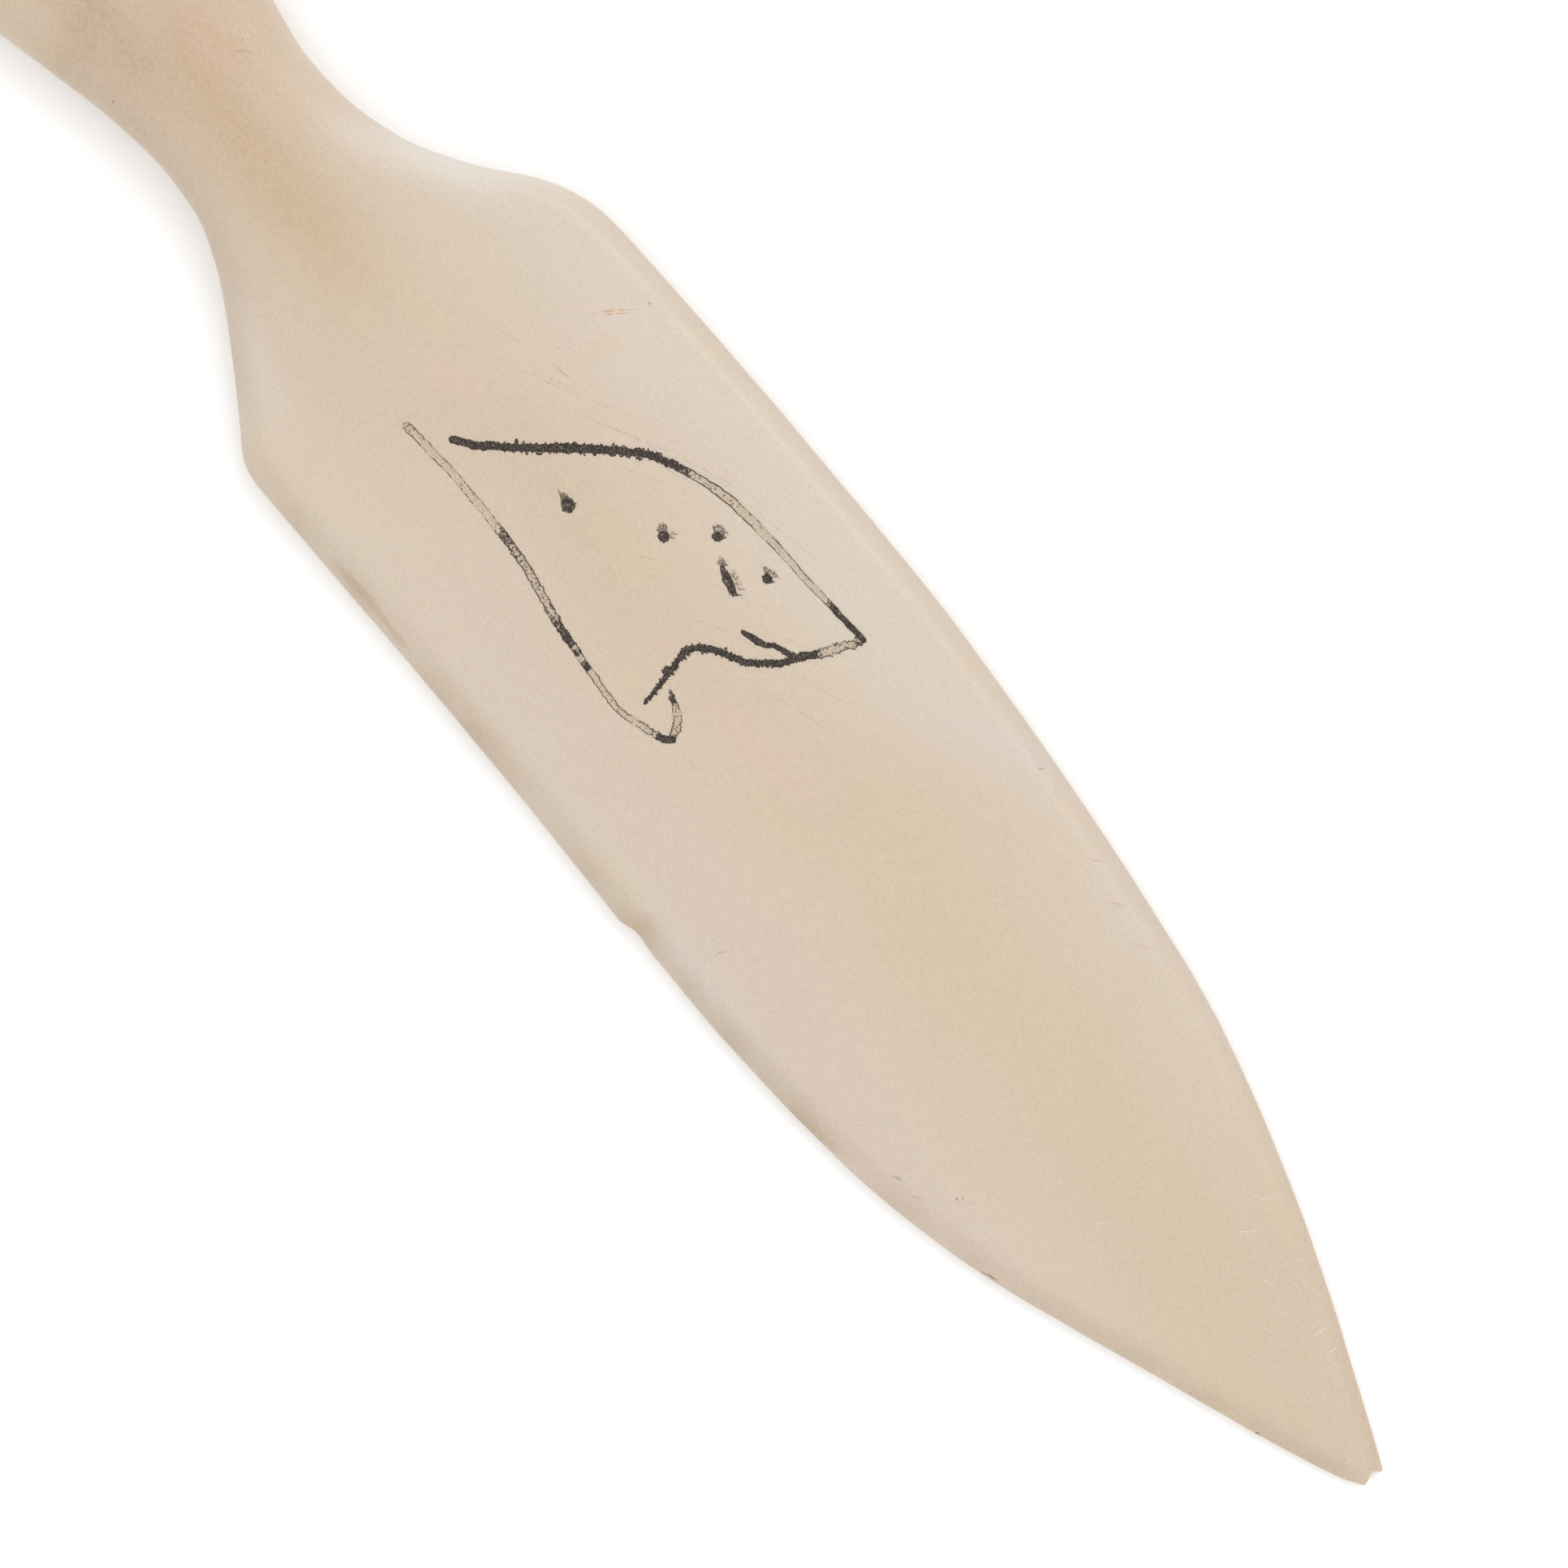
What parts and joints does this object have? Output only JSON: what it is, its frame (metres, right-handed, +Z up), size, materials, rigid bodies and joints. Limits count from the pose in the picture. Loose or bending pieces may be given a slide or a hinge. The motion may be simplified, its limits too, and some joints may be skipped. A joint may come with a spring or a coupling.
{
  "type": "bone folder",
  "caption": "One-piece carved bone paper folder: leaf-shaped blade, narrow waist, flared grip, with an engraved animal's head filled with dark pigment.",
  "frame": {"origin": "middle of the outline, on the flat back that the folder lies on", "axes": "+X along the folder from the butt to the tip, +Y across its width, +Z up out of the engraved face"},
  "size_m": [0.164, 0.0284, 0.006],
  "materials": {
    "bone": "hand-polished bone, satin",
    "ink": "matt black pigment rubbed into the grooves",
    "worn_ink": "faded grey-green pigment, mostly worn away"
  },
  "bodies": {
    "root": {"bone_body": "bone", "ink_back": "ink", "ink_back_worn": "worn_ink", "ink_snout": "ink", "ink_belly_rear_worn": "worn_ink", "ink_belly": "ink", "ink_belly_front_worn": "worn_ink", "ink_flipper": "ink", "ink_chest": "ink", "ink_muzzle_worn": "worn_ink", "ink_lip": "ink", "ink_eye": "ink", "ink_spot_neck": "ink", "ink_spot_cheek": "ink", "ink_spot_brow": "ink", "ink_spot_nose": "ink"}
  },
  "joints": []
}
